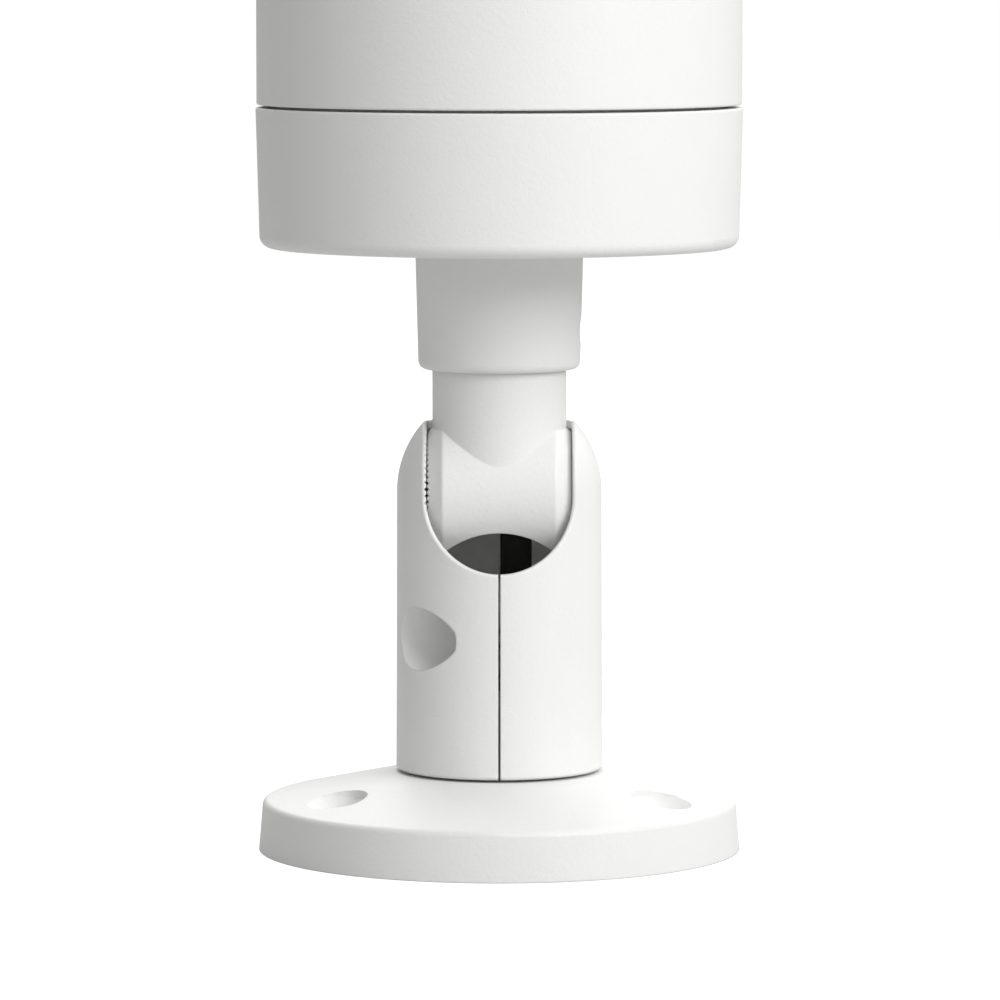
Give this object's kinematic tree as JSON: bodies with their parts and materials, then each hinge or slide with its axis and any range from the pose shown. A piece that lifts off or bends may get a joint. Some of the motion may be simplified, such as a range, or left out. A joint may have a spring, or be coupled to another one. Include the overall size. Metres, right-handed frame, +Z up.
{
  "type": "security camera",
  "caption": "Bullet security camera on a swivelling screw-down stand: pans at the base, tilts at the knuckle, turns at the neck, with a sliding sun shield.",
  "frame": {"origin": "centre of the base's bottom face, where it meets the wall or ceiling", "axes": "+Z up the stand and along the barrel to its window, -Y the side that the barrel tilts towards, +X to the right seen from -Y"},
  "size_m": [0.0754, 0.0756, 0.254],
  "materials": {
    "white_coat": "fine-grained white powder coat over cast aluminium",
    "seal_rubber": "matt black rubber",
    "screw_steel": "stainless steel",
    "spring_steel": "phosphated spring steel",
    "window_glass": "clear polished glass",
    "black_metal": "black anodised, matt",
    "bare_aluminium": "bare milled aluminium",
    "circuit_board": "green solder mask",
    "led_board": "black solder mask",
    "pillar_brass": "turned brass",
    "chip_plastic": "moulded black epoxy",
    "connector_plastic": "natural nylon",
    "thermal_pad": "grey silicone pad",
    "socket_steel": "stamped bright steel",
    "card_plastic": "black card plastic",
    "button_plastic": "red button plastic",
    "sensor_glass": "coated sensor cover",
    "black_plastic": "glass-filled black plastic",
    "filter_glass": "cyan infrared-cut glass",
    "lens_glass": "coated optical glass",
    "led_resin": "water-clear resin"
  },
  "bodies": {
    "base": {"base_plate": "white_coat", "pan_hub": "bare_aluminium", "base_gasket": "seal_rubber"},
    "column": {"column_left_half": "white_coat", "column_right_half": "white_coat"},
    "clamp": {"clamp_screw": "screw_steel"},
    "pan_lock": {"pan_lock_screw": "screw_steel"},
    "knuckle": {"knuckle": "white_coat", "neck_o_ring": "seal_rubber", "retaining_clip": "spring_steel", "cable_seal": "seal_rubber"},
    "neck_lock": {"neck_lock_screw": "screw_steel"},
    "shield": {"sun_shield": "white_coat"},
    "shield_screw": {"sun_shield_screw": "screw_steel"},
    "button": {"reset_button": "button_plastic"},
    "filter": {"filter_frame": "black_plastic", "ir_cut_filter": "filter_glass"},
    "lens": {"lens_barrel": "black_metal", "front_lens": "lens_glass", "rear_lens": "lens_glass"},
    "camera": {"rear_cap": "white_coat", "neck_socket": "white_coat", "rear_seal": "seal_rubber", "barrel_housing": "white_coat", "service_cover": "white_coat", "service_cover_gasket": "seal_rubber", "service_cover_screws": "screw_steel", "front_bezel": "white_coat", "front_seal": "seal_rubber", "front_window": "window_glass", "window_gasket": "seal_rubber", "window_retainer": "black_metal", "chassis_plate": "bare_aluminium", "power_board": "circuit_board", "main_board": "circuit_board", "sensor_board": "circuit_board", "service_board": "circuit_board", "ir_led_board": "led_board", "board_pillars": "pillar_brass", "led_board_posts": "pillar_brass", "board_screws": "screw_steel", "power_parts": "chip_plastic", "rear_connector": "connector_plastic", "processor_chips": "chip_plastic", "thermal_pad": "thermal_pad", "heat_sink": "bare_aluminium", "card_socket": "socket_steel", "memory_card": "card_plastic", "reset_switch": "chip_plastic", "image_sensor": "sensor_glass", "lens_holder": "black_plastic", "filter_motor": "chip_plastic", "light_hood": "seal_rubber", "ir_leds": "led_resin", "light_sensor": "led_resin"}
  },
  "joints": [
    {"name": "column_pan", "type": "hinge", "parent": "base", "child": "column", "pos_m": [0, 0, 0.0114], "axis": [0, 0, 1], "range_deg": [-180, 180]},
    {"name": "knuckle_tilt", "type": "hinge", "parent": "column", "child": "knuckle", "pos_m": [0, 0, 0.0522], "axis": [1, 0, 0], "range_deg": [0, 90]},
    {"name": "camera_turn", "type": "hinge", "parent": "knuckle", "child": "camera", "pos_m": [0, 0, 0.0875], "axis": [0, 0, 1], "range_deg": [-180, 180]},
    {"name": "shield_slide", "type": "slide", "parent": "camera", "child": "shield", "axis": [0, 0, 1], "range_m": [-0.008, 0.008]},
    {"name": "clamp_screw_turn", "type": "hinge", "parent": "column", "child": "clamp", "pos_m": [0, -0.00905, 0.0316], "axis": [-1, 0, 0], "range_deg": [0, 360]},
    {"name": "pan_lock_turn", "type": "hinge", "parent": "column", "child": "pan_lock", "pos_m": [0.012, 0, 0.0188], "axis": [1, 0, 0], "range_deg": [0, 360]},
    {"name": "neck_lock_turn", "type": "hinge", "parent": "camera", "child": "neck_lock", "pos_m": [0.0098, 0, 0.0757], "axis": [1, 0, 0], "range_deg": [0, 360]},
    {"name": "shield_screw_turn", "type": "hinge", "parent": "camera", "child": "shield_screw", "pos_m": [0, 0.036, 0.196], "axis": [0, 1, 0], "range_deg": [0, 360]},
    {"name": "reset_press", "type": "slide", "parent": "camera", "child": "button", "axis": [0, 1, 0], "range_m": [0, 0.0004], "stiffness_N_per_m": 800},
    {"name": "filter_slide", "type": "slide", "parent": "camera", "child": "filter", "axis": [-1, 0, 0], "range_m": [0, 0.0094]},
    {"name": "focus_turn", "type": "hinge", "parent": "camera", "child": "lens", "pos_m": [0, 0, 0.2], "axis": [0, 0, 1], "range_deg": [-180, 180]}
  ]
}
